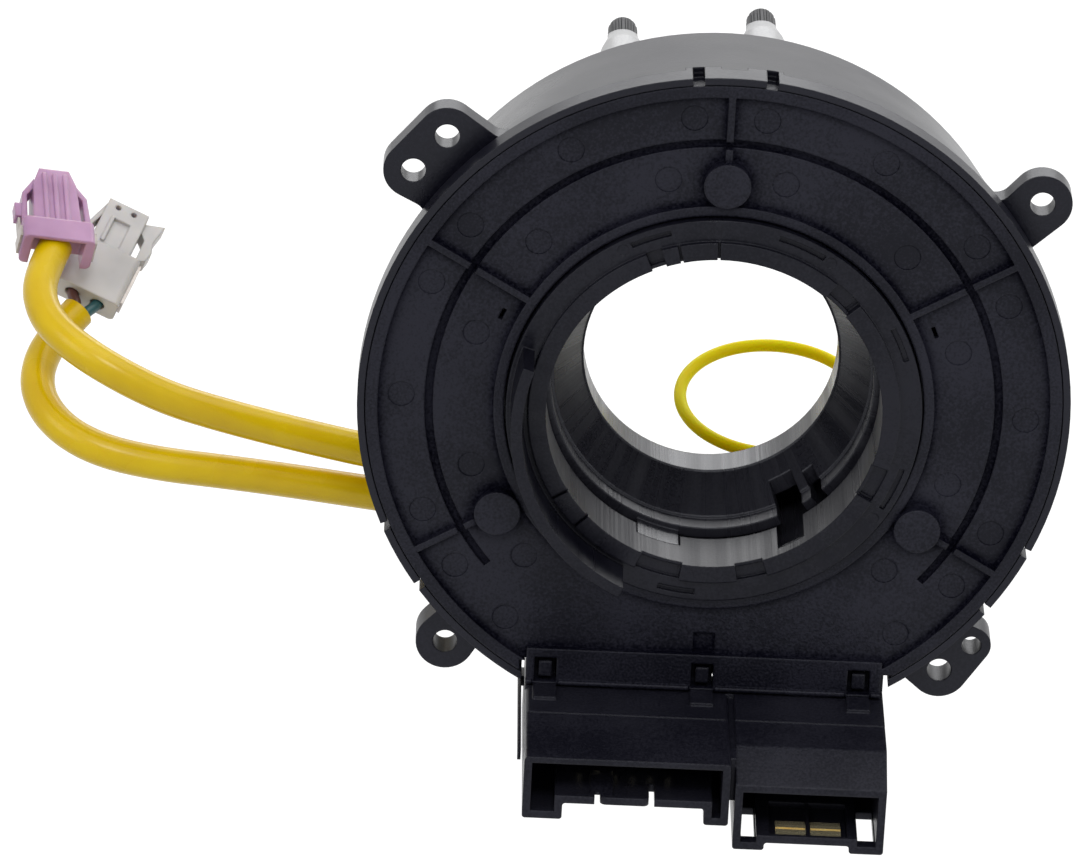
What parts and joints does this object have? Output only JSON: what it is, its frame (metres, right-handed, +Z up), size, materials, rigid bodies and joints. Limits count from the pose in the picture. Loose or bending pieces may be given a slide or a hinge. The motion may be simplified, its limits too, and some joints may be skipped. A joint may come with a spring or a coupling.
{
  "type": "steering clock spring",
  "caption": "Round black clock spring with a tapered case, screw ears, twin-socket connector block, cancelling cam ring and yellow airbag leads that turn with the wheel.",
  "frame": {"origin": "on the shaft axis, in the plane of the case's back rim that faces the steering column", "axes": "+Y along the shaft axis towards the steering wheel, +Z up with the connector block at the bottom, +X to the right seen from the column"},
  "size_m": [0.1571, 0.0975, 0.1112],
  "materials": {
    "case_plastic": "satin",
    "cover_plastic": "satin",
    "housing_plastic": "satin",
    "rotor_plastic": "satin",
    "ring_plastic": "satin",
    "post_plastic": "satin",
    "tip_plastic": "satin",
    "pin_metal": "satin",
    "gold_contact": "polished",
    "ribbon": "satin",
    "yellow_sleeve": "gloss",
    "yellow_plastic": "gloss",
    "pink_plastic": "satin",
    "white_plastic": "satin",
    "clip_metal": "satin",
    "brown_insulation": "satin",
    "green_insulation": "satin"
  },
  "bodies": {
    "column_side": {"outer_case": "case_plastic", "back_cover": "cover_plastic", "connector_housing": "housing_plastic", "signal_pins": "pin_metal", "contact_tray": "housing_plastic", "airbag_contacts": "gold_contact", "flat_cable": "ribbon", "outer_cable_clamp": "case_plastic"},
    "wheel_side": {"rotor": "rotor_plastic", "cancel_cam_ring": "ring_plastic", "inner_cable_clamp": "rotor_plastic", "left_guide_post": "post_plastic", "right_guide_post": "post_plastic", "left_post_tip": "tip_plastic", "right_post_tip": "tip_plastic", "lead_hood": "rotor_plastic", "wheel_socket": "rotor_plastic", "wheel_pins": "pin_metal", "upper_lead": "yellow_sleeve", "lower_lead": "yellow_sleeve", "pink_plug": "pink_plastic", "pink_plug_clips": "clip_metal", "white_plug": "white_plastic", "white_plug_clips": "clip_metal", "brown_wire": "brown_insulation", "green_wire": "green_insulation"},
    "lock": {"lock_pin": "yellow_plastic"}
  },
  "joints": [
    {"name": "rotor_turn", "type": "hinge", "parent": "column_side", "child": "wheel_side", "pos_m": [0, 0, 0], "axis": [0, 1, 0], "range_deg": [-900, 900]},
    {"name": "lock_pull", "type": "slide", "parent": "wheel_side", "child": "lock", "axis": [0, 1, 0], "range_m": [0, 0.012]}
  ]
}
